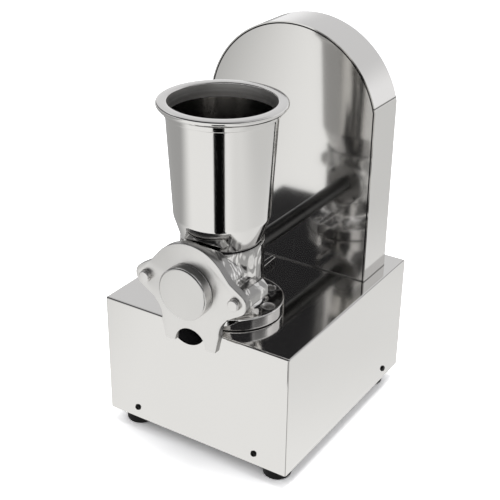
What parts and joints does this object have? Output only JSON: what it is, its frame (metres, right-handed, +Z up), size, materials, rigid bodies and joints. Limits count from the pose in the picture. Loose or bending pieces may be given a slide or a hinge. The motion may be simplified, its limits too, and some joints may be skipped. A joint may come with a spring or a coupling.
{
  "type": "motor driven wheatgrass juicer",
  "caption": "Stainless steel wheatgrass juicer: motor base, tall arched belt cover, round hopper on a cast barrel with a front plate.",
  "frame": {"origin": "on the table under the middle of the overall box", "axes": "+Z up, -Y is the front with the round plate and the juice outlet, +X to the right seen from the front"},
  "size_m": [0.254, 0.3276, 0.4745],
  "materials": {
    "polished_steel": "mirror polished stainless steel",
    "satin_steel": "satin stainless steel",
    "cast_steel": "polished stainless steel casting",
    "dark_steel": "dark screws and shaft parts",
    "cast_metal": "painted pulleys and motor castings",
    "plate_paint": "painted plate",
    "rotor_steel": "ground steel",
    "bronze": "bearing bronze",
    "black_rubber": "black rubber",
    "black_plastic": "black plastic",
    "ivory_plastic": "ivory plastic",
    "white_plastic": "white plastic",
    "red_plastic": "red rocker"
  },
  "bodies": {
    "frame": {"base_shell": "polished_steel", "base_floor": "satin_steel", "rear_panel": "satin_steel", "rubber_feet": "black_rubber", "foot_screws": "dark_steel", "panel_screws": "dark_steel", "belt_cover_front": "polished_steel", "belt_cover_bead": "black_rubber", "belt_cover_band": "polished_steel", "belt_cover_back": "satin_steel", "cover_screws": "satin_steel", "barrel": "cast_steel", "pedestal_gasket": "black_rubber", "pedestal_bolts": "satin_steel", "pedestal_nuts": "satin_steel", "hopper_seal": "black_rubber", "plate_gasket": "black_rubber", "locating_pins": "satin_steel", "juice_screen": "satin_steel", "shaft_seal": "black_rubber", "shaft_sleeve": "satin_steel", "bearing_cap": "satin_steel", "bearing_cap_screws": "dark_steel", "shaft_bearing_outers": "rotor_steel", "shaft_bearing_balls": "rotor_steel", "auger_belt": "black_rubber", "bearing_plate": "plate_paint", "bearing_plate_bolts": "satin_steel", "counter_bearing_outer": "rotor_steel", "counter_bearing_balls": "rotor_steel", "motor_belt": "black_rubber", "motor_body": "plate_paint", "motor_front_bell": "cast_metal", "motor_rear_bell": "cast_metal", "motor_cradle": "plate_paint", "motor_bolts": "satin_steel", "juice_chute": "black_plastic", "capacitor": "white_plastic", "terminal_block": "ivory_plastic", "power_inlet": "black_plastic", "inlet_pins": "satin_steel", "switch_frame": "black_plastic"},
    "auger_train": {"auger": "cast_steel", "auger_drive_pin": "dark_steel", "drive_shaft": "rotor_steel", "shaft_bearing_inners": "rotor_steel", "driven_pulley": "cast_metal", "driven_pulley_key": "dark_steel"},
    "counter_train": {"countershaft": "rotor_steel", "counter_small_pulley": "cast_metal", "counter_large_pulley": "cast_metal"},
    "motor_train": {"motor_rotor": "rotor_steel", "motor_fan": "black_plastic", "motor_pulley": "cast_metal"},
    "front_plate": {"front_plate": "satin_steel", "nose_bush": "bronze"},
    "front_cap": {"front_cap": "satin_steel"},
    "hopper": {"hopper": "polished_steel"},
    "switch_rocker": {"switch_rocker": "red_plastic"}
  },
  "joints": [
    {"name": "auger_spin", "type": "hinge", "parent": "frame", "child": "auger_train", "pos_m": [0.0155, 0, 0.2385], "axis": [0, 1, 0], "continuous": true},
    {"name": "counter_spin", "type": "hinge", "parent": "frame", "child": "counter_train", "pos_m": [0, 0, 0.361], "axis": [0, 1, 0], "continuous": true},
    {"name": "motor_spin", "type": "hinge", "parent": "frame", "child": "motor_train", "pos_m": [0, 0, 0.082], "axis": [0, 1, 0], "continuous": true},
    {"name": "front_plate_slide", "type": "slide", "parent": "frame", "child": "front_plate", "axis": [0, -1, 0], "range_m": [0, 0.06]},
    {"name": "front_cap_turn", "type": "hinge", "parent": "front_plate", "child": "front_cap", "pos_m": [0.0155, -0.15724, 0.2385], "axis": [0, -1, 0], "continuous": true},
    {"name": "hopper_lift", "type": "slide", "parent": "frame", "child": "hopper", "axis": [0, 0, 1], "range_m": [0, 0.12]},
    {"name": "switch_rock", "type": "hinge", "parent": "frame", "child": "switch_rocker", "pos_m": [-0.034, 0.15876, 0.066], "axis": [1, 0, 0], "range_deg": [-20, 0]}
  ],
  "couplings": [
    {"joint": "counter_spin", "follows": "auger_spin", "ratio": 2.12},
    {"joint": "motor_spin", "follows": "auger_spin", "ratio": 6.5062}
  ]
}
